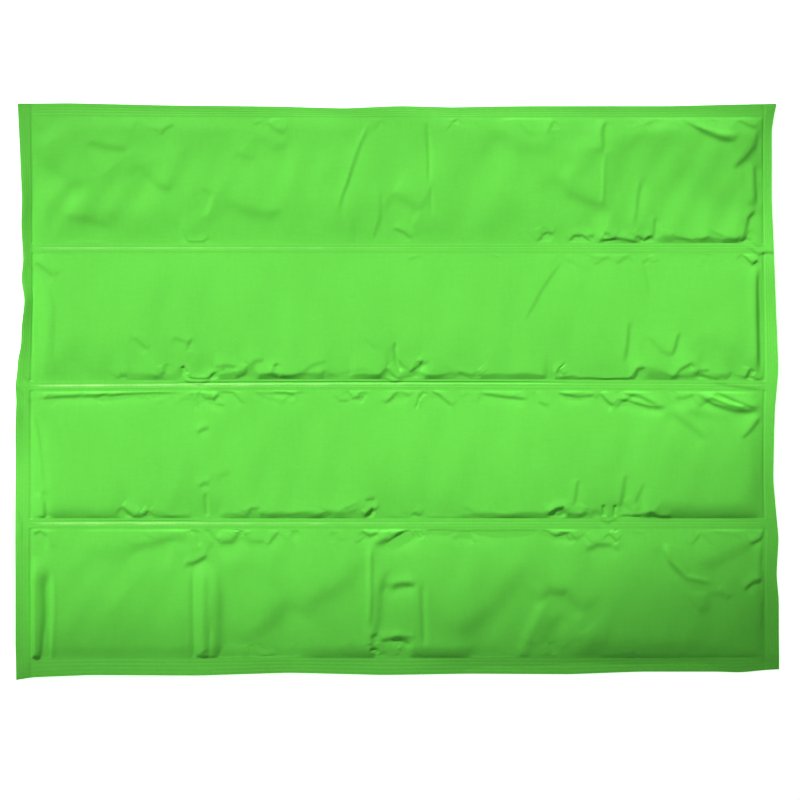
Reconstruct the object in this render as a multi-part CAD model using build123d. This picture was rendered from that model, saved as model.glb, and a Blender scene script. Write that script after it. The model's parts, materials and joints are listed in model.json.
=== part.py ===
"""Gel-filled mat: two skins of coated fabric welded together round the rim and along three seams.

The welds leave four long chambers, rows 1 to 4. Each holds a foam sheet with a layer of gel on it.
The mat lies flat: +X runs along the rows, +Y points to row 1, +Z is up, and the origin is on the
floor under the middle of the mat. Sizes are millimetres.

Each seam is a flat welded band with a fold line along both of its edges, so a row turns half way at
one edge and half way at the other, which leaves room between two closed rows for their thickness.
"""

import os

from build123d import *

# Driving dimensions
WIDTH = 650.0  # over the rim, along the rows
CHAMBERS = (108.0, 109.0, 109.0, 115.0)  # rows 1 to 4, from weld to weld
RIM = 11.0  # welded band round the outside
SEAM = 9.0  # welded band between two rows, from fold line to fold line
THICKNESS = 10.0  # over a filled chamber
SKIN = 0.4  # coated fabric
SHOULDER = 14.0  # how far a chamber takes to rise from its weld to its full height
SHOULDER_ROUND = 18.0  # radius along the top of the shoulder
FOLD_GAP = 1.6  # left between a row and a seam, round their fold line

# Filling
END_SPACE = 9.0  # empty fabric between the filling and the welds at a row's two ends
SIDE_SPACE = 3.0  # the same along the seams
FIT = 0.1  # between the filling and the skins

# Weld ribs, pressed by the welding bar
RIB_PITCH = 2.2
RIB_WIDTH = 1.0
RIB_HEIGHT = 0.2
SEAM_RIBS = 3
RIM_RIBS = 4

WELD = 2 * SKIN  # two skins melted into one
MIDDLE = THICKNESS / 2  # height of the welds
DEPTH = sum(CHAMBERS) + (len(CHAMBERS) - 1) * SEAM + 2 * RIM
CHAMBER_WIDTH = WIDTH - 2 * RIM


def block(x_size, y_size, z_size, x=0.0, y=0.0, z=0.0):
    """A box round the point (x, y) in plan, from height z up."""
    return Pos(x, y, z) * Box(x_size, y_size, z_size, align=(Align.CENTER, Align.CENTER, Align.MIN))


def pillow_half(x_size, y_size, height, base):
    """Half of a filled chamber, from the weld plane up: an upright edge, a sloping shoulder, a flat top."""
    slope = loft(
        [
            Pos(0, 0, base) * Rectangle(x_size, y_size),
            Pos(0, 0, height) * Rectangle(x_size - 2 * SHOULDER, y_size - 2 * SHOULDER),
        ]
    )
    top_edges = slope.faces().sort_by(Axis.Z)[-1].edges()
    return block(x_size, y_size, base) + fillet(top_edges, SHOULDER_ROUND)


def skin(x_size, y_size):
    """The fabric over one half of a chamber, open at the weld plane."""
    outside = pillow_half(x_size, y_size, MIDDLE, SKIN)
    inside = pillow_half(x_size - 2 * SKIN, y_size - 2 * SKIN, MIDDLE - SKIN, SKIN / 2)
    return outside - inside


def filling(x_size, y_size):
    """One layer of the filling, as thick as half of a chamber."""
    x_fill = x_size - 2 * (SKIN + END_SPACE)
    y_fill = y_size - 2 * (SKIN + SIDE_SPACE)
    return pillow_half(x_fill, y_fill, MIDDLE - SKIN - FIT, SKIN / 2)


def ribs(count, length, along_x):
    """Parallel ribs on both faces of a band that is centred on the weld plane."""
    bars = []
    for i in range(count):
        across = (i - (count - 1) / 2) * RIB_PITCH
        for z in (WELD / 2, -WELD / 2 - RIB_HEIGHT):
            if along_x:
                bars.append(block(length, RIB_WIDTH, RIB_HEIGHT, y=across, z=z))
            else:
                bars.append(block(RIB_WIDTH, length, RIB_HEIGHT, x=across, z=z))
    return bars


def side_band(y_size):
    """The rim at one end of a row or a seam: its ribs run along Y."""
    return block(RIM, y_size, WELD, z=-WELD / 2) + ribs(RIM_RIBS, y_size, along_x=False)


def end_band():
    """The rim along row 1 or row 4, across the whole mat: its ribs stop short of the corners."""
    return block(WIDTH, RIM, WELD, z=-WELD / 2) + ribs(RIM_RIBS, WIDTH - RIM, along_x=True)


def seam_band():
    """A seam across the whole mat, with the side rims' ribs across its ends."""
    depth = SEAM - FOLD_GAP
    band = block(WIDTH, depth, WELD, z=-WELD / 2) + ribs(SEAM_RIBS, CHAMBER_WIDTH, along_x=True)
    rim_middle = (WIDTH - RIM) / 2
    for x in (-rim_middle, rim_middle):
        band += [Pos(x, 0, 0) * rib for rib in ribs(RIM_RIBS, depth, along_x=False)]
    return band


def row_spans():
    """(low y, high y) of each row's solids, from row 1 at +Y to row 4."""
    spans = []
    high = DEPTH / 2 - RIM
    for i, chamber in enumerate(CHAMBERS):
        low = high - chamber
        top_cut = 0.0 if i == 0 else FOLD_GAP / 2
        bottom_cut = 0.0 if i == len(CHAMBERS) - 1 else FOLD_GAP / 2
        spans.append((low + bottom_cut, high - top_cut))
        high = low - SEAM
    return spans


def seam_centres():
    """The y of each seam's middle, from seam 1 between rows 1 and 2 to seam 3."""
    centres = []
    high = DEPTH / 2 - RIM
    for chamber in CHAMBERS[:-1]:
        high -= chamber + SEAM
        centres.append(high + SEAM / 2)
    return centres


def make_row(number, low, high):
    """The pieces of one row, by node name."""
    size, centre = high - low, (high + low) / 2
    place = Pos(0, centre, MIDDLE)
    upside_down = place * Rot(180, 0, 0)
    rim_middle = (WIDTH - RIM) / 2
    return {
        f"row_{number}_top_skin": place * skin(CHAMBER_WIDTH, size),
        f"row_{number}_bottom_skin": upside_down * skin(CHAMBER_WIDTH, size),
        f"row_{number}_gel_layer": place * filling(CHAMBER_WIDTH, size),
        f"row_{number}_foam_sheet": upside_down * filling(CHAMBER_WIDTH, size),
        f"row_{number}_left_rim": Pos(-rim_middle, 0, 0) * place * side_band(size),
        f"row_{number}_right_rim": Pos(rim_middle, 0, 0) * place * side_band(size),
    }


parts = {}
for number, (low, high) in enumerate(row_spans(), start=1):
    parts.update(make_row(number, low, high))
for number, centre in enumerate(seam_centres(), start=1):
    parts[f"seam_{number}_weld"] = Pos(0, centre, MIDDLE) * seam_band()
rim_centre = (DEPTH - RIM) / 2
parts["row_1_end_rim"] = Pos(0, rim_centre, MIDDLE) * end_band()
parts["row_4_end_rim"] = Pos(0, -rim_centre, MIDDLE) * end_band()

os.makedirs("parts", exist_ok=True)
for name, shape in parts.items():
    export_step(shape, f"parts/{name}.step")

print("mat", WIDTH, "by", DEPTH, "by", THICKNESS)
print("seam centres", seam_centres())
print("row spans", row_spans())
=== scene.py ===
"""Quilted gel mat: skins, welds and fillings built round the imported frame.

The whole mat is two height fields over one grid, the top and the underside, so that the pieces cut
from it meet exactly. The height fields are the pillow of each chamber, the puckers that a cloth
simulation gives a slack skin under pressure, the packing folds and creases, and the ribs of the welds.
"""
import json
import math

import bpy
import numpy as np
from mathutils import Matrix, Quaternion, Vector


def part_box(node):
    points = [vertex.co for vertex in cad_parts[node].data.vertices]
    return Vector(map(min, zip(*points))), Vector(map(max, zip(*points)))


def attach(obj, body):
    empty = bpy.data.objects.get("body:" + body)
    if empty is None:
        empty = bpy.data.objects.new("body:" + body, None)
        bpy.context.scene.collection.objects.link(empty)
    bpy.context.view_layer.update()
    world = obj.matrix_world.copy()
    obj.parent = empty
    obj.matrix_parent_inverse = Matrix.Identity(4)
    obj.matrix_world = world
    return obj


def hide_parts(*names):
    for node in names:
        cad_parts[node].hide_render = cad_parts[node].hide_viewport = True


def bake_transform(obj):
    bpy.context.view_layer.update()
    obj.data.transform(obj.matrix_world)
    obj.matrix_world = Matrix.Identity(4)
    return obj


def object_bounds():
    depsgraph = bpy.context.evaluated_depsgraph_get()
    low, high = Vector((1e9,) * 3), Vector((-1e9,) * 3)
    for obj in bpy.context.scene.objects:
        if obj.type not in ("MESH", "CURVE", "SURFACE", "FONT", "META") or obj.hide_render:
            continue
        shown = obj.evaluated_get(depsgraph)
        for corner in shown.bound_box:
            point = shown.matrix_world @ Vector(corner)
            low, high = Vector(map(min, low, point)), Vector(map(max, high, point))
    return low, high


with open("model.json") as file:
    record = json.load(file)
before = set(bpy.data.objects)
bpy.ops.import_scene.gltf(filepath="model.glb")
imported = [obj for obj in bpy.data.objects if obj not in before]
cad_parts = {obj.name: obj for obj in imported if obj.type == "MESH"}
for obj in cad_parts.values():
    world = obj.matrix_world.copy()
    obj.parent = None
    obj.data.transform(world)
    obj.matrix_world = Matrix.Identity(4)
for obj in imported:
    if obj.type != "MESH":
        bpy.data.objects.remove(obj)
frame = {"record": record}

MM = 0.001
TINY = 1e-6  # slack for comparing places on a grid, in metres
cad_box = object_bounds()

# ---- the mat's own sizes, from the frame
ROWS = (1, 2, 3, 4)
SEAMS = (1, 2, 3)
JOINTS = {j["name"]: j for j in frame["record"]["behaviour"]["joints"]}
(LEFT, FRONT, _), (RIGHT, BACK, _) = cad_box
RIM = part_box("row_1_left_rim")[1][0] - LEFT  # width of the rim weld
PLANE = JOINTS["seam_1_lower_fold"]["pos_m"][2]  # height of the welds above the floor
SEAM_Y = {s: (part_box(f"seam_{s}_weld")[0][1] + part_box(f"seam_{s}_weld")[1][1]) / 2 for s in SEAMS}
HALF_SEAM = abs(JOINTS["seam_1_upper_fold"]["pos_m"][1] - SEAM_Y[1])  # middle of a seam to its fold line
BEND = 1.5 * MM  # a fold bends this far on each side of its fold line
CUT = HALF_SEAM + BEND  # middle of a seam to the cut between its piece and a row's

WELD_HALF = 0.4 * MM  # half the thickness of two skins melted together
SKIN = 0.35 * MM
FULL = 3.4 * MM  # how far a filled chamber's top stands above its welds
RIB_PITCH = 2.3 * MM
RIB_HEIGHT = 0.11 * MM
# Depth of the furrow just behind the middle rib of each seam, in millimetres: (place along X, depth)
SEAM_GROOVE = {
    1: [(-325, 0), (325, 0)],
    2: [(-325, 0.05), (-190, 0.1), (-178, 0.6), (60, 0.65), (118, 0.5), (150, 0.1), (325, 0.1)],
    3: [(-325, 0.05), (-235, 0.4), (-180, 0.4), (-165, 0.1), (325, 0.05)],
}
SEAM_HIGHLIGHT = {1: 0.35, 2: 0.75, 3: 0.55}  # how strong the painted highlight on the middle rib of each seam is

# Row edges: the fold line or rim weld below a chamber, and the one above it
CHAMBERS = {}
for n in ROWS:
    upper = BACK - RIM if n == 1 else SEAM_Y[n - 1] - HALF_SEAM
    lower = FRONT + RIM if n == 4 else SEAM_Y[n] + HALF_SEAM
    CHAMBERS[n] = (lower, upper)
X_IN = RIGHT - RIM  # half the width of a chamber

# ---- small helpers


def placed(name, data):
    """A new object in the scene."""
    thing = bpy.data.objects.new(name, data)
    bpy.context.scene.collection.objects.link(thing)
    return thing


def smooth(t):
    """0 below 0, 1 above 1, and smooth in between."""
    t = np.clip(t, 0.0, 1.0)
    return t * t * (3 - 2 * t)


def spread(stops):
    """Grid lines through a list of (place, step to the next place), in metres."""
    lines = []
    for (a, step), (b, _) in zip(stops[:-1], stops[1:]):
        count = max(1, math.ceil((b - a) / step - 1e-6))
        lines.extend(np.linspace(a, b, count, endpoint=False))
    lines.append(stops[-1][0])
    return np.array(lines)


def quads(index):
    """The corners of each cell of a grid of point numbers."""
    return np.stack([index[:-1, :-1], index[1:, :-1], index[1:, 1:], index[:-1, 1:]], -1).reshape(-1, 4)


def waves(x, y, seed, count, shortest, longest):
    """A slow random swell between about -1 and 1."""
    rng = np.random.default_rng(seed)
    total = np.zeros(np.broadcast(x, y).shape)
    for _ in range(count):
        length = rng.uniform(shortest, longest)
        angle = rng.uniform(0, math.tau)
        phase = rng.uniform(0, math.tau)
        total += np.cos((x * math.cos(angle) + y * math.sin(angle)) * math.tau / length + phase)
    return total / math.sqrt(count)


def edge_line(places, at):
    """A smooth line through (place, offset) pairs given in millimetres, read off at places in metres."""
    knots, offsets = np.array(places).T * MM
    fine = np.linspace(knots[0], knots[-1], 240)
    raw = np.interp(fine, knots, offsets)
    kernel = np.hanning(9)
    padded = np.pad(raw, 4, mode="edge")
    return np.interp(at, fine, np.convolve(padded, kernel / kernel.sum(), mode="valid"))


# ---- limp outline
# How far each edge of the mat lies outside its straight line, in millimetres: (place along it, offset)
LEFT_EDGE = [(-248, 2), (-223, 3), (-130, 3), (-34, 3), (-9, 2), (4, 3), (13, 1.5), (26, 0.7), (39, -2.3),
             (51, -2.3), (77, -5.3), (95, -2.2), (111, -3.9), (141, -2.2), (163, -3), (206, -1), (245, 1)]
RIGHT_EDGE = [(-245, 2), (-180, 1.5), (-158, -0.5), (-127, 1.5), (-100, -1), (-77, -3), (-40, -2.5),
              (-17, -2), (17, 1), (50, 0), (99, -2), (163, -4.5), (223, -4.5), (238, -2), (245, 0)]
BACK_EDGE = [(-325, 0.5), (-281, 1), (-191, -1), (-100, -2), (-45, -3.5), (2, -1.5), (45, -2.5),
             (113, -1.5), (233, -1.5), (300, 0), (325, 0.5)]
FRONT_EDGE = [(-325, 4), (-315, 1.5), (-264, -0.5), (-170, 0), (-93, -2.5), (-15, -0.5), (62, -1.5),
              (147, -1), (207, -3.2), (276, -3.2), (293, -2.5), (325, -5.5)]
# How far the outer edge of a rim stands above its usual droop, in millimetres: (place along it, lift)
LEFT_LIFT = [(-245, 2.4), (-189, 2.6), (-146, 2), (-103, 1), (-60, 0.6), (-17, 3), (26, 3), (69, 4),
             (111, 3.6), (154, 4.4), (197, 3), (245, 2)]
RIGHT_LIFT = [(-245, 2.4), (-200, 1.4), (-150, -0.6), (-120, -1.0), (-90, -0.4), (-40, 1.2), (60, 1.6),
              (130, 1.4), (200, 0.8), (245, 0)]
FRONT_LIFT = [(-325, 0.8), (-240, 0.6), (-140, 0.6), (-110, -0.2), (-70, -0.4), (-20, 0.8), (10, 0.6),
              (45, -1), (150, -1.6), (215, -2.4), (262, -2.4), (280, -0.8), (300, -0.8), (325, -2.2)]
EDGE_REACH = 16 * MM  # an edge's offset dies out this far into the mat
FRONT_RIM_EXTRA = 4 * MM  # the front rim is this much wider than the others
FRONT_RIM_REACH = 40 * MM  # how far into row 4 that extra width is made up for
MIDDLE_BOW = 1.2 * MM  # how far back the middle of seam 2 is bowed
BOW_REACH = 30 * MM


def sideways(x, y):
    """How far a point of the mat lies from its place on the flat pattern, along X and along Y."""
    from_left = edge_line(LEFT_EDGE, y) * (1 - smooth((x - LEFT) / EDGE_REACH))
    from_right = edge_line(RIGHT_EDGE, y) * (1 - smooth((RIGHT - x) / EDGE_REACH))
    from_back = edge_line(BACK_EDGE, x) * (1 - smooth((BACK - y) / EDGE_REACH))
    from_front = edge_line(FRONT_EDGE, x) * (1 - smooth((y - FRONT) / EDGE_REACH))
    past_rim = smooth((y - FRONT - RIM) / FRONT_RIM_REACH)
    extra = FRONT_RIM_EXTRA * smooth((y - FRONT) / RIM) * (1 - past_rim)
    bow = MIDDLE_BOW * np.cos(x / X_IN * math.pi / 2) * np.exp(-((y - SEAM_Y[2]) / BOW_REACH) ** 2)
    return from_right - from_left, from_back - from_front + bow + extra


# ---- shoulders
# The front shoulder of each row, next to the weld on its -Y side, as stops along X: (place, width of the
# steep part, share of the chamber's height that it climbs, bend). Millimetres. Without a bend the slope is
# straight under a sharp brow, and with a bend of 2 it is steepest at the weld.
FRONT_SHOULDER = {
    1: [(165, 10, 0), (174, 2.6, 0.45), (206, 2.6, 0.45), (210, 6, 0.2), (219, 6, 0.2), (224, 4.6, 0.8),
        (290, 4.6, 0.8), (296, 8, 0.2)],
    2: [(-246, 8, 0.1), (-232, 6, 0.45, 1.3), (-192, 5.4, 0.5, 1.2), (-184, 5, 0), (-158, 5, 0),
        (-152, 5, 0.7), (-138, 6, 0.75), (-123, 11, 0.8), (-119, 5, 0.85), (-66, 5.2, 0.85),
        (-62, 8.6, 0.7), (-54, 3, 0.25), (-42, 3, 0.25), (-37, 4.8, 0.8), (-16, 4.8, 0.8), (-11, 8.6, 0.7),
        (-8, 6, 0.2), (20, 6, 0.25), (24, 4.6, 0.6), (70, 5.4, 0.6), (124, 4.4, 0.6), (128, 4, 0.1),
        (133, 4, 0.1), (136, 4, 0.6), (150, 4, 0.5), (155, 1.8, 0.35), (198, 1.8, 0.4),
        (206, 12.5, 1.0, 1.1), (216, 11.5, 1.15), (226, 8, 1.0), (235, 3.2, 0.6), (239, 3.2, 0.6),
        (258, 13, 0.8, 1.2), (262, 7, 0.6), (280, 4.4, 0.6), (286, 5, 0.2)],
    3: [(-304, 6, 0.2), (-298, 13, 0.85, 2.2), (-244, 13, 0.85, 2.2), (-232, 8, 0.4, 2), (-222, 3, 0.35),
        (-182, 3, 0.35), (-176, 3, 0), (-154, 3, 0), (-146, 5.4, 0.75, 1.3), (-66, 5.4, 0.8, 1.3),
        (-58, 8.4, 0.85, 1.5), (-28, 6, 0.8, 1.3), (-22, 6, 0.15), (48, 6, 0.1), (56, 3.4, 0.35),
        (74, 4.8, 0.65, 1.1), (124, 5, 0.65, 1.1), (140, 11, 0.8), (144, 4, 0.7), (166, 4, 0.65),
        (172, 4, 0.15), (208, 4, 0.15), (214, 6, 0.9), (232, 17, 1.1, 2.2), (308, 17, 1.1, 2.2),
        (316, 8, 0.4, 1.5), (325, 8, 0.3)],
    4: [(-88, 8, 0.1), (-70, 12, 0.6, 2), (-24, 11, 0.9, 2), (-19, 6, 0), (8, 6, 0), (13, 12, 1.0, 1.8),
        (60, 12, 0.9, 1.8), (72, 20, 0.4, 1.4), (138, 22, 0.5, 1.4), (150, 28, 1.0, 2),
        (166, 24, 1.35, 1.8), (250, 21, 1.3, 1.8), (282, 12, 0.95, 1.6), (312, 7, 0.5, 1.5),
        (325, 5, 0.2)],
}
# How much fuller than the rest each row is along X: (place, factor)
FULLER = {n: [(-325, 1), (325, 1)] for n in ROWS}
FULLER[3] = [(-325, 1), (200, 1), (226, 1.4), (300, 1.4), (325, 1.1)]
FULLER[4] = [(-325, 1), (0, 1), (20, 1.3), (60, 1.3), (80, 1), (120, 1.1), (165, 2.0), (235, 2.0),
             (276, 1.3), (325, 1.2)]
# How deep the soft dents of each row are, in millimetres: (place along X, depth)
DENTS = {
    1: [(-325, 0.9), (-230, 0.9), (-100, 0.6), (20, 0.35), (130, 0.5), (325, 0.8)],
    2: [(-325, 0.25), (-230, 0.15), (100, 0.12), (325, 0.25)],
    3: [(-325, 0.15), (150, 0.18), (325, 0.5)],
    4: [(-325, 0.6), (0, 0.6), (100, 0.5), (325, 0.4)],
}
# How wide the shoulder on each row's +Y side is, in millimetres: (place along X, width)
BACK_SHOULDER = {n: [(-325, 85), (325, 85)] for n in ROWS}
BACK_SHOULDER[1] = [(-325, 85), (60, 85), (140, 40), (200, 16), (325, 14)]
BACK_BEND = 1.25
LEFT_SHOULDER = 15 * MM  # width of the shoulders at the ends of the rows
RIGHT_SHOULDER = {1: 22 * MM, 2: 8 * MM, 3: 16 * MM, 4: 8 * MM}
SIDE_BEND = 1.5
RAGGED = 1.2 * MM  # how much the width of a front shoulder varies
MOST_RAGGED = 0.26  # and at most this share of it
USUAL_SHARE = 0.5  # the share that a front shoulder climbs, away from the weld
SLOW_RISE = 105 * MM  # how far the rest of the height takes to climb behind a front shoulder
SLOW_BEND = 1.15
BROW = 0.10  # how softly the top of a shoulder is rounded


def ramp(distance, width, bend):
    """0 at a weld and 1 past the shoulder's width, with a softly rounded brow."""
    left_to_climb = BROW * np.logaddexp(0, (1 - distance / width) / BROW)
    return 1 - np.clip(left_to_climb, 0, 1) ** bend


def shoulders(n, x, y):
    """How full row n is at each place: 0 at its welds, about 1 over the filling."""
    lower, upper = CHAMBERS[n]
    inside = y - lower
    places, widths, shares, bends = np.array([(*stop, 1)[:4] for stop in FRONT_SHOULDER[n]]).T
    width, share, bend = (np.interp(x, places * MM, values) for values in (widths, shares, bends))
    width = width * MM
    ragged = np.minimum(MOST_RAGGED, RAGGED / width)
    width = width * (1 + ragged * waves(x, 0, 60 + n, 8, 9 * MM, 45 * MM))
    share = share * (0.80 + 0.6 * ragged * waves(x, 0, 70 + n, 6, 9 * MM, 60 * MM))
    near = np.exp(-((inside / (10 * MM + 1.5 * width)) ** 2))
    share = USUAL_SHARE + (share - USUAL_SHARE) * near
    front = share * ramp(inside, width, bend) + (1 - share) * ramp(inside, SLOW_RISE, SLOW_BEND)
    back = ramp(upper - y, edge_line(BACK_SHOULDER[n], x), BACK_BEND)
    sides = ramp(x + X_IN, LEFT_SHOULDER, SIDE_BEND) * ramp(X_IN - x, RIGHT_SHOULDER[n], SIDE_BEND)
    return np.clip(front, 0, None) * back * sides


# ---- creases
# Each fold: its width, its height and then its points, in millimetres on the mat. It is a small step, high
# on its side towards the back left, or low there if its height is negative.
FOLDS = [
    # row 1
    (14, 2.4, (-317, 214), (-305, 197), (-282, 180), (-266, 168)),
    (8, 1.1, (-289, 149), (-266, 146), (-243, 139)),
    (5, 1.08, (-269, 214), (-251, 208), (-229, 206)),
    (3, 0.72, (-205, 218), (-199, 224), (-191, 228)),
    (6, 1.14, (-224, 197), (-215, 185), (-205, 175), (-190, 171)),
    (3, -0.58, (-173, 175), (-159, 168), (-163, 153), (-171, 149)),
    (8, 1.1, (-150, 164), (-132, 153), (-111, 149), (-96, 155)),
    (4, 0.6, (-138, 205), (-132, 200), (-122, 197)),
    (8, 0.9, (-122, 219), (-106, 208), (-91, 210)),
    (2.3, 1.01, (-187, 149), (-185, 139), (-180, 126), (-173, 124), (-166, 126), (-162, 134)),
    (2.4, 0.8, (-29, 222), (-38, 199), (-48, 164), (-51, 149)),
    (2.4, 0.43, (-39, 149), (-37, 126)),
    (2.4, 0.58, (-16, 175), (-15, 149), (-22, 126)),
    (2.6, 0.87, (-5, 139), (5, 135), (13, 129)),
    (8, 1.4, (-7, 169), (7, 162), (22, 153)),
    (14, 1.8, (78, 224), (104, 208), (138, 205)),
    (9, 1.9, (134, 188), (146, 169), (171, 158), (186, 154)),
    (3, 1.59, (178, 232), (175, 220), (176, 203)),
    (2.6, 1.01, (209, 183), (206, 168), (203, 139)),
    (3, 1.89, (243, 232), (262, 221), (276, 215), (291, 212)),
    (3, 1.59, (290, 232), (299, 227), (309, 224)),
    (4, 1.68, (308, 225), (306, 209), (298, 199), (285, 188)),
    (3, 2.17, (305, 195), (306, 173), (307, 157)),
    (3, 1.89, (307, 155), (300, 147), (296, 126)),
    (2.6, 1.01, (123, 132), (128, 135), (134, 133)),
    (2.6, 1.3, (146, 126), (151, 132), (158, 132), (166, 126)),
    (2.4, 1.45, (204, 133), (211, 128), (218, 133)),
    (2.4, 1.16, (220, 149), (219, 129)),
    (2.4, 1.3, (171, 126), (187, 130), (206, 127)),
    (18, 1.6, (215, 240), (234, 198), (300, 150)),
    (18, 1.2, (262, 240), (284, 206), (318, 188)),
    # row 2
    (4, 1.08, (-313, 111), (-302, 103), (-293, 95)),
    (4, 0.72, (-301, 93), (-295, 72), (-297, 25)),
    (3, 1.01, (-228, 46), (-213, 34)),
    (3, 0.87, (-194, 45), (-176, 39)),
    (2.6, 0.87, (-181, 33), (-178, 44)),
    (2.4, 2.03, (-185, 21), (-179, 10), (-173, 6), (-163, 7), (-155, 17)),
    (3, 0.87, (-158, 19), (-147, 20), (-137, 19)),
    (4, 0.96, (-127, 19), (-122, 24), (-114, 25)),
    (2.6, 1.3, (-11, 19), (1, 6)),
    (2.6, 1.01, (-5, 38), (0, 25), (8, 16)),
    (2.6, 0.58, (-30, 46), (-18, 33)),
    (2.6, 1.45, (22, 26), (18, 20), (9, 13)),
    (3, 1.01, (16, 25), (24, 20)),
    (2.4, 1.16, (134, 11), (138, 17), (142, 11)),
    (2.6, 0.51, (142, 113), (124, 87), (107, 56)),
    (2.4, 0.58, (209, 112), (212, 98), (216, 80)),
    (2.4, 0.43, (156, 108), (158, 85)),
    (2.6, 1.16, (198, 60), (197, 41), (194, 22)),
    (3, 0.87, (213, 47), (226, 33), (234, 28)),
    (2.6, 1.16, (241, 50), (238, 38), (235, 28)),
    (10, 0.7, (259, 49), (272, 38), (293, 33)),
    (3, 2.46, (308, 108), (308, 72), (309, 11)),
    (2.4, 1.59, (302, 19), (298, 9)),
    (2.4, 1.45, (302, 12), (309, 6)),
    (2.6, 2.03, (294, 118), (299, 112), (304, 108), (310, 112)),
    (3, 1.3, (202, 7), (205, 17), (213, 19)),
    (3, 1.3, (235, 8), (242, 17), (251, 22), (256, 18)),
    (3, 1.16, (256, 14), (267, 10), (277, 7)),
    # row 3
    (2.6, 1.45, (-315, -8), (-286, -6), (-248, -5), (-214, -3), (-179, -3)),
    (2.6, 1.1, (-312, -18), (-307, -42), (-303, -84)),
    (2.6, 2.2, (-307, -86), (-303, -96), (-302, -116)),
    (2.3, 1.3, (-171, -1), (-166, -8), (-158, -9), (-153, -3)),
    (2.3, 1.01, (-155, -1), (-141, -3), (-131, -14)),
    (2.3, 1.01, (-44, 0), (-39, -8), (-27, -7)),
    (2.4, 0.87, (-11, -13), (0, -3)),
    (2.3, 0.58, (-125, -3), (-99, -4), (-77, -3)),
    (2.3, 1.01, (-172, -38), (-168, -34), (-161, -33)),
    (2.3, 1.01, (-170, -84), (-167, -80), (-161, -81)),
    (4, 0.36, (-158, -77), (-142, -69)),
    (3, 1.74, (-238, -99), (-232, -104), (-225, -111)),
    (2.5, 1.74, (-29, -109), (-22, -102), (-18, -104)),
    (2.5, 0.87, (-29, -94), (-19, -93)),
    (2.4, 1.3, (28, -1), (36, -6), (48, -16)),
    (2.4, 1.3, (70, -4), (92, -7), (113, -9)),
    (2.4, 1.3, (135, -3), (153, -7), (171, -5)),
    (2.6, 2.03, (172, -3), (180, -11), (186, -15)),
    (2.8, 2.17, (186, -8), (199, -11), (215, -15), (231, -16)),
    (2.8, 1.74, (191, -3), (207, -6), (224, -14)),
    (5, 1.44, (231, -17), (247, -29), (266, -44)),
    (3, 2.75, (256, -4), (271, -13), (289, -18), (311, -19)),
    (3, 2.17, (271, -1), (292, -11), (311, -18)),
    (8, 1.3, (241, -18), (273, -22), (307, -23)),
    (3, 1.3, (311, -23), (303, -34), (294, -43)),
    (2.6, 1.16, (154, -76), (151, -100)),
    (2.6, 1.01, (195, -71), (191, -99)),
    (2.6, 0.72, (211, -79), (202, -99)),
    (2.6, 2.17, (127, -108), (136, -102), (142, -101), (146, -109)),
    (2.6, 1.45, (189, -108), (199, -108), (210, -109)),
    (2.6, 2.03, (215, -104), (223, -109), (235, -110)),
    # row 4
    (3, 1.16, (-314, -125), (-307, -121), (-301, -125), (-299, -137)),
    (7, 1.4, (-235, -137), (-211, -132), (-198, -128), (-174, -127)),
    (14, 0.9, (-275, -136), (-248, -141), (-222, -137)),
    (5, 1.8, (-158, -126), (-151, -131), (-142, -130), (-136, -122)),
    (2.4, 1.16, (-138, -121), (-133, -121), (-131, -125)),
    (3, 1.74, (-184, -149), (-176, -149), (-162, -142)),
    (9, 0.9, (-195, -141), (-179, -141), (-168, -133)),
    (8, 2.9, (-155, -146), (-153, -178), (-153, -205), (-156, -248)),
    (14, 1.9, (-91, -176), (-99, -189), (-115, -205), (-138, -224)),
    (16, 1.8, (-28, -141), (-40, -162), (-65, -178), (-91, -197)),
    (3, 1.59, (-17, -209), (-23, -214), (-21, -222)),
    (2.6, 1.45, (-32, -120), (-24, -125), (-16, -122)),
    (5, 2.16, (-22, -134), (-8, -128), (10, -118)),
    (6, 1.8, (-10, -152), (-15, -173), (-16, -194), (-21, -217)),
    (4, 1.44, (-13, -164), (-4, -170), (15, -165)),
    (3, 1.74, (-17, -218), (0, -214), (15, -215)),
    (4, 1.44, (-7, -128), (4, -122), (12, -118)),
    (4, 2.04, (14, -126), (20, -118), (46, -119), (79, -120), (128, -119)),
    (3, 1.45, (-7, -168), (4, -166), (17, -168)),
    (3, 1.74, (-7, -216), (1, -215), (12, -221)),
    (3, 1.89, (123, -118), (135, -125), (143, -124), (151, -131)),
    (2.6, 1.45, (136, -122), (147, -122), (154, -130)),
    (4, 1.68, (158, -138), (171, -133), (181, -133), (193, -138)),
    (3, 1.74, (180, -122), (186, -128), (189, -130)),
    (18, 2.8, (113, -141), (100, -165), (81, -189), (38, -218)),
    (8, 2.6, (118, -184), (130, -173), (144, -174), (163, -193)),
    (9, 1.5, (137, -189), (129, -205), (121, -227)),
    (12, 1.2, (153, -210), (164, -221), (180, -224)),
    (4, 1.56, (225, -132), (231, -146), (244, -161)),
    (11, 2, (253, -150), (271, -149), (287, -141), (309, -129)),
    (3, 1.89, (315, -119), (311, -128), (300, -133)),
    (2.6, 2.32, (296, -172), (304, -165), (313, -163)),
    (8, 2.2, (266, -172), (265, -186), (256, -192)),
    (3, 1.59, (312, -130), (311, -152), (314, -165)),
    (3, 1.45, (313, -178), (312, -205)),
]
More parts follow.
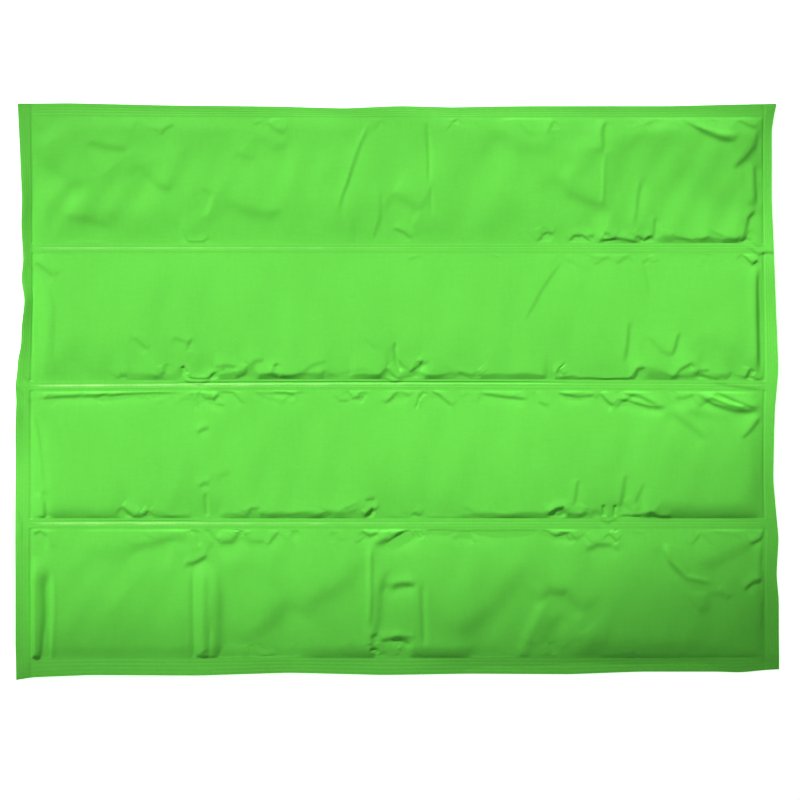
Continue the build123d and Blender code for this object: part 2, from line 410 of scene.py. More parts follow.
# Ridges, given the same way. A negative height makes a groove.
RIDGES = [
    # row 1
    (3, 0.58, (-25, 231), (-36, 202), (-48, 165)),
    (2.6, -0.87, (25, 231), (27, 201), (27, 177)),
    (2.4, -0.43, (28, 175), (29, 149)),
    (3, 0.65, (177, 204), (176, 180), (175, 157)),
    (4, 0.96, (251, 228), (275, 219), (293, 217)),
    # row 2
    (2.4, -0.87, (-313, 108), (-313, 87)),
    (2.4, -1.45, (-185, 20), (-180, 13)),
    (2.4, -1.45, (-3, 41), (-1, 25), (3, 14)),
    # row 3
    (2.6, -0.6, (-177, -3), (-173, -18)),
    (2.6, -0.87, (-165, -88), (-163, -109)),
    (3, 1.59, (265, -5), (284, -12), (300, -16)),
    (2.4, -1.3, (176, -98), (177, -109)),
    (2.4, -1.3, (186, -98), (186, -109)),
    # row 4
    (13, 3.2, (-313, -140), (-312, -178), (-314, -250)),
    (7, -2.6, (-301, -152), (-300, -184), (-303, -250)),
    (4, 0.9, (-296, -150), (-295, -190), (-298, -246)),
    (2.6, -0.9, (-179, -120), (-172, -123), (-170, -134)),
    (2.6, -1.1, (-165, -119), (-160, -125), (-155, -133)),
    (6, 1.2, (-167, -148), (-167, -189), (-168, -246)),
    (3.5, -0.84, (-176, -148), (-175, -246)),
    (2.6, -0.58, (-161, -200), (-162, -246)),
    (2.6, -1.59, (-24, -226), (-19, -227), (-17, -230)),
    (4, 1.2, (-24, -130), (-24, -178), (-25, -205)),
    (4, -1.08, (21, -162), (22, -194), (23, -226)),
    (2.4, -1.3, (184, -114), (187, -122)),
    (9, 1.1, (134, -172), (124, -187), (114, -208), (104, -240)),
    (3.5, 1.32, (227, -130), (234, -146), (247, -160), (271, -165)),
    (5, 0.72, (275, -168), (284, -179)),
]
# Folds in the welds themselves
WELD_FOLDS = [
    (2.2, 0.6, (-326, 112), (-320, 106), (-315, 98)),
    (2.4, 0.8, (-327, 26), (-321, 14), (-315, 6)),
    (2.4, 0.9, (-328, 6), (-321, -1), (-316, -12)),
    (2.2, 0.7, (-328, -8), (-322, -16), (-319, -27)),
    (2.2, 0.7, (-324, -100), (-320, -116), (-320, -132)),
    (2.6, 0.9, (298, 124), (309, 116), (318, 118), (328, 117)),
    (2.6, 0.7, (296, 132), (305, 126), (311, 121)),
    (2.4, 0.6, (268, 6), (296, 2), (314, 0)),
    (2.2, 0.8, (-188, 12), (-180, 6), (-170, 4), (-160, 8)),
    (2.2, 0.6, (-12, 10), (-3, 5), (6, 9)),
    (2.2, 0.6, (172, -110), (180, -114), (188, -110)),
]
TO_LIGHT = (-0.45, 0.89)  # the side of a fold that is high
END_SHARE = 0.2  # the share of a crease's length over which each of its ends fades

# Where fine tucks run off a weld: (row, 0 for its front weld or 1 for its back one, from X, to X, count)
TUCKED = [(1, 0, 110, 305, 14), (2, 1, 20, 310, 12), (2, 0, -240, 310, 26), (3, 1, -310, 310, 40),
          (3, 0, -240, 310, 26), (4, 1, -250, 310, 30), (4, 0, -180, 300, 18), (1, 1, -230, 310, 16)]


def tucks():
    """Fine random folds along the welds, in the same form as the other folds."""
    rng = np.random.default_rng(5)
    found = []
    for n, weld, low, high, count in TUCKED:
        line, inward = CHAMBERS[n][weld] / MM, 1 - 2 * weld
        for _ in range(count):
            place = rng.uniform(low, high)
            near = rng.uniform(0, 4)
            deep = near + rng.uniform(1, 14)
            run, bow = rng.normal(0, 13), rng.normal(0, 2)
            width, height = rng.uniform(1.9, 4.0), 0.25 + 0.8 * rng.uniform() ** 2
            middle = (place + 0.5 * run - bow, line + inward * max(1, 0.5 * (near + deep) + bow))
            ends = (place, line + inward * near), (place + run, line + inward * deep)
            found.append((width, height, ends[0], middle, ends[1]))
    return found


def along_path(x, y, points):
    """Where each point lies from a path: (distance, signed distance, share of the path up to there)."""
    steps = np.diff(points, axis=0)
    lengths = np.hypot(steps[:, 0], steps[:, 1])
    run_x, run_y = points[-1] - points[0]
    facing = 1.0 if run_x * TO_LIGHT[1] - run_y * TO_LIGHT[0] > 0 else -1.0
    best = np.full(x.shape, np.inf)
    signed, along = np.zeros((2, *x.shape))
    start = 0.0
    for (from_x, from_y), (step_x, step_y), length in zip(points[:-1], steps, lengths):
        t = np.clip(((x - from_x) * step_x + (y - from_y) * step_y) / length**2, 0, 1)
        distance = np.hypot(x - from_x - t * step_x, y - from_y - t * step_y)
        side = np.sign(step_x * (y - from_y) - step_y * (x - from_x)) * facing
        closer = distance < best
        best = np.where(closer, distance, best)
        signed = np.where(closer, distance * side, signed)
        along = np.where(closer, (start + t * length) / lengths.sum(), along)
        start += length
    return best, signed, along


def crease(x, y, ridged, width, height, *points):
    """The height that one crease adds at each point of the grid."""
    width, height = width * MM, height * MM
    points = np.array(points, float) * MM
    low, high = points.min(axis=0) - 5 * width, points.max(axis=0) + 5 * width
    window = np.ix_((x[:, 0] > low[0]) & (x[:, 0] < high[0]), (y[0] > low[1]) & (y[0] < high[1]))
    total = np.zeros(x.shape)
    if not x[window].size:
        return total
    distance, signed, along = along_path(x[window], y[window], points)
    if ridged:
        shape = np.exp(-((distance / (0.6 * width)) ** 2))
    else:
        shape = 0.5 * np.tanh(signed / (0.5 * width)) * np.exp(-((signed / (2.2 * width)) ** 2))
    ends = smooth(along / END_SHARE) * smooth((1 - along) / END_SHARE)
    total[window] = shape * ends * height
    return total


def creases(x, y, specs, ridged=False):
    """The height that a list of creases adds together."""
    return sum(crease(x, y, ridged, *spec) for spec in specs)


# ---- cloth simulation of the slack skins
CLOTH_STEP = 4.2 * MM
CLOTH_FRAMES = 22
CLOTH = {
    "quality": 5,
    "mass": 0.15,
    "tension_stiffness": 20,
    "compression_stiffness": 20,
    "shear_stiffness": 6,
    "bending_stiffness": 3,
    "air_damping": 3,
    "vertex_group_mass": "held",
    "shrink_min": -0.006,  # the skins are this much longer than the flat pattern
    "use_pressure": True,
    "uniform_pressure_force": 2.5,
}


def cloth_lines():
    """Coarse grid lines that run along the edge of every weld."""
    xs = spread([(LEFT, RIM), (-X_IN, CLOTH_STEP), (X_IN, RIM), (RIGHT, 1)])
    stops = [(FRONT, RIM)]
    for n in reversed(ROWS):
        lower, upper = CHAMBERS[n]
        stops += [(lower, CLOTH_STEP), (upper, 2 * HALF_SEAM)]
    stops.append((BACK, 1))
    return xs, spread(stops)


def slack_skins(xs, ys):
    """Two flat skins joined at the welds: (object, where they are free, top and bottom point numbers)."""
    x, y = np.meshgrid(xs, ys, indexing="ij")
    free = np.zeros(x.shape, bool)
    for lower, upper in CHAMBERS.values():
        free |= (y > lower + TINY) & (y < upper - TINY)
    free &= np.abs(x) < X_IN - TINY
    uneven = np.random.default_rng(11).standard_normal(x.shape)
    start = np.where(free, 1.0 * MM + 0.15 * MM * uneven, 0.0)
    top_index = np.arange(x.size).reshape(x.shape)
    bottom_index = top_index.copy()
    bottom_index[free] = x.size + np.arange(free.sum())
    top_points = np.stack([x, y, start], -1).reshape(-1, 3)
    bottom_points = np.stack([x[free], y[free], -start[free] * 0.8], -1)
    points = np.concatenate([top_points, bottom_points])
    bottom_quads = quads(bottom_index)[:, ::-1]
    own = (bottom_quads >= x.size).any(axis=1)
    faces = np.concatenate([quads(top_index), bottom_quads[own]])
    mesh = bpy.data.meshes.new("slack_skins")
    mesh.from_pydata(points.tolist(), [], faces.tolist())
    return placed("slack_skins", mesh), free, top_index, bottom_index


def add_cloth(skins, free, index):
    """Inflates the skins, which are held wherever they aren't free."""
    held = skins.vertex_groups.new(name="held")
    held.add([int(i) for i in index[~free]], 1.0, "REPLACE")
    modifier = skins.modifiers.new("skins", "CLOTH")
    for name, value in CLOTH.items():
        setattr(modifier.settings, name, value)
    modifier.settings.effector_weights.gravity = 0
    modifier.collision_settings.use_collision = False
    modifier.point_cache.frame_start = 1
    modifier.point_cache.frame_end = CLOTH_FRAMES


def simulate():
    """Inflates two slack skins that are held along the welds: (x lines, y lines, top, bottom heights)."""
    xs, ys = cloth_lines()
    cloth, free, top_index, bottom_index = slack_skins(xs, ys)
    add_cloth(cloth, free, top_index)
    timeline = bpy.context.scene
    for number in range(1, CLOTH_FRAMES + 1):
        timeline.frame_set(number)
    posed = cloth.evaluated_get(bpy.context.evaluated_depsgraph_get())
    result = np.empty(len(cloth.data.vertices) * 3)
    posed.data.vertices.foreach_get("co", result)
    heights = result.reshape(-1, 3)[:, 2]
    bpy.data.meshes.remove(cloth.data)  # and its object
    timeline.frame_set(1)
    return xs, ys, heights[top_index], -heights[bottom_index]


def blurred(field, lines, radius):
    """A running mean along the first direction of a field."""
    distance = (lines[:, None] - lines[None, :]) / radius
    weights = np.exp(-0.5 * distance**2)
    return (weights / weights.sum(axis=1, keepdims=True)) @ field


def cubic_weights(lines, at):
    """A matrix that reads a smooth curve through values on lines, at other places."""
    position = np.interp(at, lines, np.arange(len(lines)))
    first = np.clip(np.floor(position).astype(int), 0, len(lines) - 2)
    t = position - first
    terms = (
        -0.5 * t + t**2 - 0.5 * t**3,
        1 - 2.5 * t**2 + 1.5 * t**3,
        0.5 * t + 2 * t**2 - 1.5 * t**3,
        -0.5 * t**2 + 0.5 * t**3,
    )
    matrix = np.zeros((len(at), len(lines)))
    for shift, weight in enumerate(terms, start=-1):
        np.add.at(matrix, (np.arange(len(at)), np.clip(first + shift, 0, len(lines) - 1)), weight)
    return matrix


PUCKER_GAIN = 0.8
PUCKER_LIMIT = 1.3 * MM
PUCKER_BLUR = 22 * MM  # swells longer than this along a row are left out
PUCKER_SMOOTH = 4.5 * MM  # ripples shorter than this are the simulation's own grid
cloth_x, cloth_y, top_cloth, bottom_cloth = simulate()
puckers = []
for layer in (top_cloth, bottom_cloth):
    layer = blurred(layer, cloth_x, PUCKER_SMOOTH)
    layer = blurred(layer.T, cloth_y, PUCKER_SMOOTH).T
    wrinkle = (layer - blurred(layer, cloth_x, PUCKER_BLUR)) * PUCKER_GAIN
    puckers.append(PUCKER_LIMIT * np.tanh(wrinkle / PUCKER_LIMIT))


# ---- the two height fields
SLUMP = 0.15  # how much lower row 4 is filled towards the front
SLUMP_REACH = 70 * MM
PUCKER_REACH = 22 * MM  # puckers fade this far from a seam
PUCKER_LEFT = 0.35  # to this share of their height
FOLD_FADE = 2.5 * MM  # a fold dies out this close to the edge of its chamber
DEEPEST = 0.25 * MM  # how far a fold may dip below the welds
HIGHLIGHT_WIDTH = 0.9 * MM  # of the painted highlight line on a seam's middle rib
FURROW_OFF = 1.9 * MM  # from the middle of the seam
FURROW_WIDTH = 0.6 * MM
CURL_PAST_RIM = 4 * MM  # how far past the rim its edge's lift reaches
CURL_INSET = 2 * MM  # the lift of the side rims starts this much further out
LOWEST_WELD = 0.9 * MM  # above the floor
DROOP, DROOP_SWING = 1.6, 0.8  # how far the rims hang below the seams, in millimetres
SUNK, SUNK_MORE = 0.4, 1.3  # how far the front of row 4 sinks on the left and further right, in millimetres
HIGHLIGHT_REACH = 440 * MM  # the painted highlights on the seams fade over this length from the left, the side the lamp is on
RIM_LINE_WIDTH = 1.3 * MM  # of the line pressed along the inner edge of the side rims
RIM_LINE_DEPTH = 0.4 * MM
ON_FLOOR = 0.25 * MM  # how softly the underside settles on the floor


def seam_distance(y):
    """How far a place is from the nearest weld that runs along X."""
    lines = [edge for chamber in CHAMBERS.values() for edge in chamber]
    return np.min([np.abs(y - line) for line in lines], axis=0)


def by_row(table, x, y):
    """What each row's own list of (place along X, millimetres) gives, in metres. 0 between the rows."""
    total = np.zeros(x.shape)
    for n, (low, high) in CHAMBERS.items():
        total = total + np.where((y >= low - TINY) & (y <= high + TINY), edge_line(table[n], x), 0)
    return total


def chamber_heights(x, y, xs, ys):
    """How far the top and the underside of the chambers stand away from their welds."""
    pillow = np.zeros(x.shape)
    depth_in = np.zeros(x.shape)  # how far inside its chamber a place is
    for n, (lower, upper) in CHAMBERS.items():
        inside = (y >= lower - TINY) & (y <= upper + TINY) & (np.abs(x) <= X_IN + TINY)
        pillow = np.where(inside, shoulders(n, x, y), pillow)
        nearest = np.minimum(np.minimum(y - lower, upper - y), X_IN - np.abs(x))
        depth_in = np.where(inside, nearest, depth_in)
    swell = 0.6 * waves(x, y, 81, 10, 22 * MM, 75 * MM)
    hollow = 0.9 * np.abs(waves(x, y, 82, 8, 45 * MM, 120 * MM))
    slump = smooth((CHAMBERS[4][0] + SLUMP_REACH - y) / SLUMP_REACH)
    top = pillow * (FULL * (by_row(FULLER, x, y) / MM) + by_row(DENTS, x, y) * (swell - hollow))
    top = top * (1 - SLUMP * slump)
    bottom = pillow * (PLANE - WELD_HALF)
    if puckers:
        wx, wy = cubic_weights(cloth_x, xs), cubic_weights(cloth_y, ys)
        near = np.exp(-seam_distance(y) / PUCKER_REACH)
        share = smooth(pillow * 2.5) * (PUCKER_LEFT + (1 - PUCKER_LEFT) * near)
        top = top + wx @ puckers[0] @ wy.T * share
        bottom = bottom + wx @ puckers[1] @ wy.T * share
    creased = creases(x, y, FOLDS + tucks()) + creases(x, y, RIDGES, ridged=True)
    top = np.maximum(top + creased * smooth(depth_in / FOLD_FADE), -DEEPEST)
    return top + creases(x, y, WELD_FOLDS), bottom


def weld_relief(x, y, edge):
    """The pressed ribs and furrows of the welds, and the painted highlight on their ribs: (ribs, furrow,
    inside a seam, painted highlight).
    """
    rim_rib = 0.5 + 0.5 * np.cos((edge - RIM / 2) / RIB_PITCH * math.tau + math.pi)
    rim_rib *= smooth(edge / (0.6 * MM)) * smooth((RIM - edge) / (0.8 * MM))
    seam_rib, seam_highlight, seam_inside, furrow = np.zeros((4, *x.shape))
    for s in SEAMS:
        off = y - SEAM_Y[s]
        inside = smooth((HALF_SEAM - np.abs(off)) / (0.7 * MM))
        seam_inside += inside
        seam_rib += (0.5 + 0.5 * np.cos(off / RIB_PITCH * math.tau)) * inside
        # Painted highlight: a pale line along the middle rib of each seam that stands in for the lamp's
        # reflection.
        seam_highlight += SEAM_HIGHLIGHT[s] * np.exp(-((off / HIGHLIGHT_WIDTH) ** 2))
        furrow += edge_line(SEAM_GROOVE[s], x) * np.exp(-(((off - FURROW_OFF) / FURROW_WIDTH) ** 2))
    in_rim = edge < RIM - TINY
    # The painted highlight fades from the left towards the right, away from the lamp.
    fading = 1 - 0.93 * smooth((x - LEFT) / HIGHLIGHT_REACH)
    uneven = 0.80 + 0.28 * waves(x, 0, 90, 12, 3 * MM, 50 * MM)
    highlight_amount = fading * uneven * smooth((x - LEFT - RIM) / (15 * MM))
    # The rim ribs get a faint painted highlight on their crests.
    painted_highlight = np.where(in_rim, 0.03 * rim_rib, seam_highlight * np.clip(highlight_amount, 0, 1.2))
    return np.where(in_rim, rim_rib, seam_rib), furrow, seam_inside, painted_highlight


def limp_plane(x, y, edge):
    """The height of the weld plane, which droops and lifts along the rims and sinks towards the front."""
    uneven = DROOP + DROOP_SWING * waves(x, y, 21, 5, 60 * MM, 140 * MM)
    droop = (1 - smooth(edge / (2.2 * RIM))) * uneven * MM
    reach = RIM + CURL_PAST_RIM
    inset = reach - CURL_INSET
    curl = smooth((LEFT + inset - x) / reach) * edge_line(LEFT_LIFT, y)
    curl = curl + smooth((x - RIGHT + inset) / reach) * edge_line(RIGHT_LIFT, y)
    curl = curl + smooth((FRONT + reach - y) / reach) * edge_line(FRONT_LIFT, x)
    sunk = (SUNK + SUNK_MORE * smooth((x + 100 * MM) / (220 * MM))) * MM
    sunk = sunk * smooth((FRONT + 85 * MM - y) / (75 * MM))
    return PLANE + np.maximum(curl - droop - sunk, LOWEST_WELD - PLANE)


def surfaces(xs, ys):
    """The top and the underside of the mat over a grid: (x, y, top z, bottom z, weld plane z, painted
    highlight).
    """
    x, y = np.meshgrid(xs, ys, indexing="ij")
    edge = np.minimum(np.minimum(x - LEFT, RIGHT - x), np.minimum(y - FRONT, BACK - y))
    top, bottom = chamber_heights(x, y, xs, ys)
    ribs, furrow, seam_inside, painted_highlight = weld_relief(x, y, edge)
    plane = limp_plane(x, y, edge)
    rim_line = np.exp(-(((np.minimum(x - LEFT, RIGHT - x) - RIM) / RIM_LINE_WIDTH) ** 2))
    pressed = furrow + RIM_LINE_DEPTH * rim_line * (1 - seam_inside)
    top_z = plane + WELD_HALF + top + ribs * RIB_HEIGHT - pressed
    bottom_z = plane - WELD_HALF - bottom - ribs * RIB_HEIGHT * 0.5
    bottom_z = ON_FLOOR * np.logaddexp(0, bottom_z / ON_FLOOR)
    dx, dy = sideways(x, y)
    return x + dx, y + dy, top_z, bottom_z, plane, painted_highlight


def normals_of(points):
    """Unit normals of a grid of points, facing up."""
    normal = np.cross(*np.gradient(points, axis=(0, 1)))
    return normal / np.linalg.norm(normal, axis=-1, keepdims=True)


FINE_X = 1.22 * MM  # grid step over the chambers
FINE_Y = 1.7 * MM
DENSE = 0.5 * MM  # grid step across the welds
# From where to where each row's own pieces reach
CUTS = {n: (low + BEND * (n != 4), high - BEND * (n != 1)) for n, (low, high) in CHAMBERS.items()}


def grid_lines():
    """Grid lines along X and along Y, dense across the welds and next to them."""
    shoulder = 8 * MM
    xs = spread([(LEFT, DENSE), (-X_IN, 0.8 * MM), (-X_IN + shoulder, FINE_X),
                 (X_IN - shoulder, 0.8 * MM), (X_IN, DENSE), (RIGHT, 1)])
    stops = [(FRONT, DENSE)]
    for n in reversed(ROWS):
        low, high = CHAMBERS[n]
        first_cut, last_cut = CUTS[n]
        if n != 4:
            stops.append((low, DENSE))
        stops += [(first_cut, 0.75 * MM), (first_cut + 16 * MM, FINE_Y),
                  (last_cut - 12 * MM, 0.85 * MM), (last_cut, DENSE)]
        if n != 1:
            stops += [(high, DENSE), (high + HALF_SEAM, DENSE)]
    stops.append((BACK, 1))
    return xs, spread(stops)


x_lines, y_lines = grid_lines()
grid_x, grid_y, top_z, bottom_z, plane_z, painted_highlight_grid = surfaces(x_lines, y_lines)
top = np.stack([grid_x, grid_y, top_z], -1)
bottom = np.stack([grid_x, grid_y, bottom_z], -1)
top_normals = normals_of(top)
bottom_normals = -normals_of(bottom)

# ---- meshes


def solid(name, upper, lower, upper_normals, lower_normals, painted_highlight=None):
    """A closed piece between two grids of points. The walls round its edge are flat-shaded."""
    m, n = upper.shape[:2]
    index = np.arange(m * n).reshape(m, n)
    face = quads(index)
    ring = np.concatenate([index[:-1, 0], index[-1, :-1], index[:0:-1, -1], index[0, :0:-1]])
    following = np.roll(ring, -1)
    walls = np.stack([ring, ring + m * n, following + m * n, following], -1)
    faces = np.concatenate([face, face[:, ::-1] + m * n, walls]).astype(np.int32)
    points = np.concatenate([upper.reshape(-1, 3), lower.reshape(-1, 3)]).astype(np.float32)
    mesh = bpy.data.meshes.new(name)
    mesh.vertices.add(len(points))
    mesh.vertices.foreach_set("co", points.ravel())
    mesh.loops.add(faces.size)
    mesh.loops.foreach_set("vertex_index", faces.ravel())
    mesh.polygons.add(len(faces))
    mesh.polygons.foreach_set("loop_start", np.arange(0, faces.size, 4, dtype=np.int32))
    mesh.polygons.foreach_set("loop_total", np.full(len(faces), 4, dtype=np.int32))
    mesh.polygons.foreach_set("use_smooth", np.arange(len(faces)) < 2 * len(face))
    mesh.update(calc_edges=True)
    mesh.validate()
    every = np.concatenate([upper_normals.reshape(-1, 3), lower_normals.reshape(-1, 3)])
    loop_normals = every[faces.ravel()]
    loop_normals[2 * face.size:] = 0
    mesh.normals_split_custom_set(loop_normals.tolist())
    if painted_highlight is not None:
        # Stores the painted highlight for the material to read.
        attribute = mesh.attributes.new("painted_highlight", "FLOAT", "POINT")
        attribute.data.foreach_set("value", np.tile(painted_highlight.ravel(), 2).astype(np.float32))
    return placed(name, mesh)


def span(lines, low, high):
    """The slice of grid lines from low to high, both ends included."""
    inside = np.nonzero((lines > low - TINY) & (lines < high + TINY))[0]
    return slice(int(inside[0]), int(inside[-1]) + 1)


def weld_piece(name, *area):
    """Both skins melted together: the solid between the top and the underside of an area."""
    return solid(name, top[area], bottom[area], top_normals[area], bottom_normals[area], painted_highlight_grid[area])


def skin_piece(name, upper, *area):
    """One skin over or under a chamber, with its thickness inwards."""
    if upper:
        inner = top[area] - SKIN * top_normals[area]
        return solid(name, top[area], inner, top_normals[area], -top_normals[area], painted_highlight_grid[area])
    inner = bottom[area] - SKIN * bottom_normals[area]
    return solid(name, inner, bottom[area], -bottom_normals[area], bottom_normals[area], painted_highlight_grid[area])


# ---- materials


class Nodes:
    """Builds the node tree of one material."""

    def __init__(self, name):
        self.material = bpy.data.materials.new(name)
        self.material.use_nodes = True
        self.tree = self.material.node_tree
        self.tree.nodes.clear()
        output = self.add("OutputMaterial")
        self.shader = self.add("BsdfPrincipled")
        self.put(output.inputs["Surface"], self.shader.outputs["BSDF"])

    def add(self, kind, **settings):
        node = self.tree.nodes.new("ShaderNode" + kind)
        for name, value in settings.items():
            setattr(node, name, value)
        return node

    def put(self, socket, value):
        """Links another node's output into a socket, or sets a constant on it."""
        if isinstance(value, bpy.types.NodeSocket):
            self.tree.links.new(value, socket)
        else:
            socket.default_value = value

    def surface(self, **values):
        """Fills the shader's sockets, named with _ for a space."""
        for name, value in values.items():
            self.put(self.shader.inputs[name.replace("_", " ")], value)

    def texture(self, kind, stretch=(1, 1, 1), **values):
        """A procedural texture over the mat's own metres."""
        mapping = self.add("Mapping")
        self.put(mapping.inputs["Scale"], stretch)
        self.put(mapping.inputs["Vector"], self.add("TexCoord").outputs["Object"])
        node = self.add("Tex" + kind)
        self.put(node.inputs["Vector"], mapping.outputs["Vector"])
        for name, value in values.items():
            self.put(node.inputs[name], value)
        return node

    def noise(self, scale, detail, roughness=0.5, stretch=(1, 1, 1)):
        node = self.texture("Noise", stretch, Scale=scale, Detail=detail, Roughness=roughness)
        return node.outputs["Fac"]

    def cells(self, scale):
        return self.texture("Voronoi", Scale=scale).outputs["Distance"]

    def math(self, operation, *values):
        node = self.add("Math", operation=operation)
        for socket, value in zip(node.inputs, values):
            self.put(socket, value)
        return node.outputs["Value"]

    def ramp(self, factor, *stops):
        """A ramp through two (place, colour or grey) stops."""
        node = self.add("ValToRGB")
        self.put(node.inputs["Fac"], factor)
        for element, (place, color) in zip(node.color_ramp.elements, stops):
            element.position = place
            element.color = (*color, 1) if isinstance(color, tuple) else (color, color, color, 1)
        return node.outputs["Color"]

    def bump(self, height, strength, distance, under=None):
        node = self.add("Bump")
        self.put(node.inputs["Strength"], strength)
        self.put(node.inputs["Distance"], distance)
        self.put(node.inputs["Height"], height)
        if under is not None:
            self.put(node.inputs["Normal"], under)
        return node.outputs["Normal"]

    def mix(self, factor, a, b, blend="MIX"):
        node = self.add("Mix", data_type="RGBA", blend_type=blend)
        colors = [socket for socket in node.inputs if socket.type == "RGBA"]
        for socket, value in zip([node.inputs["Factor"], *colors], (factor, a, b)):
            self.put(socket, value)
        return next(socket for socket in node.outputs if socket.type == "RGBA")


GREEN = (0.137, 0.705, 0.066)
GREEN_HIGHLIGHT = (0.50, 1.0, 0.30, 1)  # painted highlight colour for the crests of the ribs


def coated_fabric(name, thread_bump):
    """Nylon with a thin plastic coat: fine threads under a satin film, with a painted highlight along the
    crests of the weld ribs.
    """
    nodes = Nodes(name)
    darker, lighter = (tuple(part * share for part in GREEN) for share in (0.965, 1.03))
    tint = nodes.ramp(nodes.noise(14, 3), (0.3, darker), (0.7, lighter))
    threads = nodes.noise(1.0, 2, 0.6, (600, 900, 600))
    weft = nodes.noise(1.0, 3, 0.55, (110, 330, 200))
    warp = nodes.noise(1.0, 3, 0.55, (300, 70, 200))
    woven = nodes.math("MULTIPLY", nodes.math("ADD", weft, warp), 0.3)
    mottle = nodes.math("ADD", nodes.math("MULTIPLY", threads, 0.4), woven)
    grain = nodes.ramp(mottle, (0.35, (0.86, 0.88, 0.86)), (0.65, 1.0))
    color = nodes.mix(0.55, tint, grain, "MULTIPLY")
    patchy = nodes.math("MULTIPLY_ADD", nodes.noise(1.0, 3, 0.5, (30, 160, 100)), 1.2, 0.5)
    # Painted highlight: mixes a pale green into the colour wherever the highlight attribute is set.
    highlight_amount = nodes.math("MULTIPLY", nodes.add("Attribute", attribute_name="painted_highlight").outputs["Fac"], patchy)
    fine = nodes.bump(threads, thread_bump, 0.0001)
    nodes.surface(
        Base_Color=nodes.mix(highlight_amount, color, GREEN_HIGHLIGHT),
        Roughness=nodes.ramp(weft, (0.3, 0.46), (0.7, 0.58)),
        Normal=nodes.bump(nodes.noise(170, 3, 0.6), 0.16, 0.0005, fine),
        Specular_IOR_Level=0.15,
    )
    return nodes.material


def gel_material():
    nodes = Nodes("clear_gel")
    cloud = nodes.noise(60, 4)
    nodes.surface(
        Base_Color=nodes.ramp(cloud, (0.3, (0.42, 0.66, 0.74)), (0.7, (0.62, 0.80, 0.86))),
        Roughness=nodes.ramp(cloud, (0.3, 0.10), (0.7, 0.22)),
        Normal=nodes.bump(nodes.cells(260), 0.2, 0.0004),
    )
    return nodes.material


def foam_material():
    nodes = Nodes("open_foam")
    cells = nodes.cells(900)
    nodes.surface(
        Base_Color=nodes.ramp(cells, (0.1, (0.62, 0.60, 0.52)), (0.6, (0.86, 0.84, 0.76))),
        Roughness=nodes.ramp(cells, (0, 0.8), (1, 0.95)),
        Normal=nodes.bump(cells, 0.6, 0.0004),
    )
    return nodes.material


def floor_material():
    nodes = Nodes("pale_floor")
    nodes.surface(
        Base_Color=(0.93, 0.93, 0.93, 1),
        Roughness=0.9,
        Specular_IOR_Level=0.0,
        Emission_Color=(1, 1, 1, 1),
        Emission_Strength=0.775,
    )
    return nodes.material


skin_material = coated_fabric("coated_nylon", 0.25)
weld_material = coated_fabric("welded_nylon", 0.2)
gel = gel_material()
foam = foam_material()

# ---- pieces
all_x = span(x_lines, LEFT, RIGHT)
chamber_x = span(x_lines, -X_IN, X_IN)
FILLING_STEP = 2.6 * MM  # grid step of the gel and foam
FILLING_GAP = 0.4 * MM  # between the filling and a skin
FILLING_EDGE = 6 * MM  # how far in from its edge a filling reaches its full thickness
FILLING_THINNEST = 0.05 * MM


def finish_piece(piece, material, slot, *nodes):
    piece.data.materials.append(material)
    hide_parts(*nodes)


def nearby(pick, field, xs, ys, reach):
    """The lowest or highest value that a field of the mat has near each place of a coarser grid."""
    columns = np.array([pick(field[np.abs(x_lines - at) <= reach], axis=0) for at in xs])
    return np.array([pick(columns[:, np.abs(y_lines - at) <= reach], axis=1) for at in ys]).T


def filling_grids(n):
    """Top of the gel, the plane between gel and foam, and underside of the foam of one row."""
    (x0, y0, _), (x1, y1, _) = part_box(f"row_{n}_gel_layer")
    xs, ys = spread([(x0, FILLING_STEP), (x1, 1)]), spread([(y0, FILLING_STEP), (y1, 1)])
    x, y = np.meshgrid(xs, ys, indexing="ij")
    dx, dy = sideways(x, y)
    highest = nearby(np.min, top_z, xs, ys, FILLING_STEP) - SKIN - FILLING_GAP
    middle = nearby(np.min, plane_z, xs, ys, FILLING_STEP)
    lowest = nearby(np.max, bottom_z, xs, ys, FILLING_STEP) + SKIN + FILLING_GAP
    inset = np.minimum(np.minimum(x - x0, x1 - x), np.minimum(y - y0, y1 - y))
    taper = np.sqrt(smooth(inset / FILLING_EDGE) * 0.98 + 0.02)
    gel_top = middle + np.maximum((highest - middle) * taper, FILLING_THINNEST)
    foam_low = middle - np.maximum((middle - lowest) * taper, FILLING_THINNEST)
    apart = 0.4 * FILLING_THINNEST
    heights = (gel_top, middle + apart, middle - apart, foam_low)
    return [np.stack([x + dx, y + dy, z], -1) for z in heights]


def build_hems(n):
    """The rim welds of one row."""
    row_y = span(y_lines, *CUTS[n])
    areas = {"left": (span(x_lines, LEFT, -X_IN), row_y), "right": (span(x_lines, X_IN, RIGHT), row_y)}
    if n == 1:
        areas["end"] = (all_x, span(y_lines, BACK - RIM, BACK))
    if n == 4:
        areas["end"] = (all_x, span(y_lines, FRONT, FRONT + RIM))
    hems = []
    for side, area in areas.items():
        hem = weld_piece(f"row_{n}_{side}_rim_weld", *area)
        finish_piece(hem, weld_material, "weld", f"row_{n}_{side}_rim")
        hems.append(hem)
    return hems


def build_filling(n):
    """The gel and the foam of one row."""
    gel_top, gel_low, foam_top, foam_low = filling_grids(n)
    gel_piece = solid(f"row_{n}_gel", gel_top, gel_low, normals_of(gel_top), -normals_of(gel_low))
    finish_piece(gel_piece, gel, "gel", f"row_{n}_gel_layer")
    foam_piece = solid(f"row_{n}_foam", foam_top, foam_low, normals_of(foam_top), -normals_of(foam_low))
    finish_piece(foam_piece, foam, "foam", f"row_{n}_foam_sheet")
    return gel_piece, foam_piece


def build_skins(n):
    """The top and the bottom skin of one row."""
    pair = []
    for side in ("top", "bottom"):
        skin = skin_piece(f"row_{n}_{side}_fabric", side == "top", chamber_x, span(y_lines, *CUTS[n]))
        finish_piece(skin, skin_material, "coated_nylon", f"row_{n}_{side}_skin")
        pair.append(skin)
    return pair


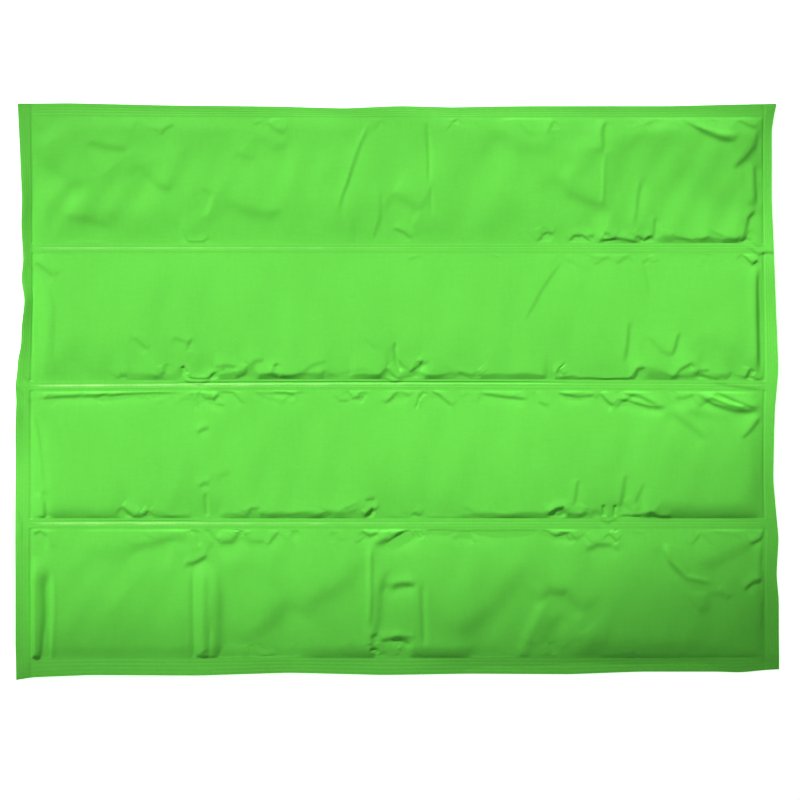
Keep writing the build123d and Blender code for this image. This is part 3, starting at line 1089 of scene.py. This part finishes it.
def build_seam(s):
    """The two halves of one seam weld."""
    middle = SEAM_Y[s]
    front_half = weld_piece(f"seam_{s}_weld_front", all_x, span(y_lines, middle - CUT, middle))
    back_half = weld_piece(f"seam_{s}_weld_back", all_x, span(y_lines, middle, middle + CUT))
    front_line, back_line = middle - HALF_SEAM, middle + HALF_SEAM
    for half, first, second, line in ((front_half, f"row_{s + 1}", f"seam_{s}", front_line),
                                      (back_half, f"seam_{s}", f"row_{s}", back_line)):
        finish_piece(half, weld_material, "weld", f"seam_{s}_weld")
        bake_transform(half)
    return [front_half, back_half]


skins = {}
for n in ROWS:
    hems = build_hems(n)
    gel_piece, foam_piece = build_filling(n)
    upper_skin, lower_skin = build_skins(n)
    for piece in (*hems, gel_piece, foam_piece, upper_skin, lower_skin):
        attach(piece, f"row_{n}")
    skins[n] = (upper_skin, lower_skin, hems)
seam_halves = {s: build_seam(s) for s in SEAMS}

for n, (upper_skin, lower_skin, hems) in skins.items():
    if n in SEAMS:
        hems = hems + seam_halves[n]

# ---- floor, light and camera
scene = bpy.context.scene
FLOOR = 6.0  # half the width of the floor
corners = [(-FLOOR, -FLOOR, 0), (FLOOR, -FLOOR, 0), (FLOOR, FLOOR, 0), (-FLOOR, FLOOR, 0)]
floor_mesh = bpy.data.meshes.new("floor")
floor_mesh.from_pydata(corners, [], [(0, 1, 2, 3)])
floor_mesh.materials.append(floor_material())
floor = placed("floor", floor_mesh)

world = bpy.data.worlds.new("studio")
world.use_nodes = True
surround = world.node_tree.nodes["Background"]
surround.inputs["Color"].default_value = (1, 1, 1, 1)
surround.inputs["Strength"].default_value = 0.24
scene.world = world

# One soft, narrow lamp from behind on the left. Its pool of light fades towards the front right.
LAMP_PLACE = Vector((-1.34, 2.5, 1.75))
LAMP_AIM = Vector((-0.085, 0.026, 0.0))
LAMP_SIZE = (1.06, 0.304)
LAMP_POWER = 1.25
LAMP_BEAM = math.radians(3.7)
LAMP_ROLL = math.radians(-9.5)
lamp = bpy.data.lights.new("key", "AREA")
lamp.shape = "ELLIPSE"
lamp.size, lamp.size_y = LAMP_SIZE
lamp.energy = LAMP_POWER
lamp.spread = LAMP_BEAM
lamp_holder = placed("key", lamp)
lamp_holder.location = LAMP_PLACE
facing_mat = (LAMP_AIM - LAMP_PLACE).to_track_quat("-Z", "Y")
lamp_holder.rotation_euler = (facing_mat @ Quaternion((0, 0, 1), LAMP_ROLL)).to_euler()

CAMERA_HEIGHT = 3.0
FRAME_WIDTH = 0.6857  # how much of the weld plane the picture shows from side to side
SENSOR = 36  # width of the camera's sensor, in millimetres
camera_data = bpy.data.cameras.new("camera")
camera_data.sensor_width = SENSOR
camera_data.lens = SENSOR * (CAMERA_HEIGHT - PLANE) / FRAME_WIDTH
camera = placed("camera", camera_data)
camera.location = (0.0017, -0.0086, CAMERA_HEIGHT)
scene.camera = camera
scene.view_settings.view_transform = "Standard"
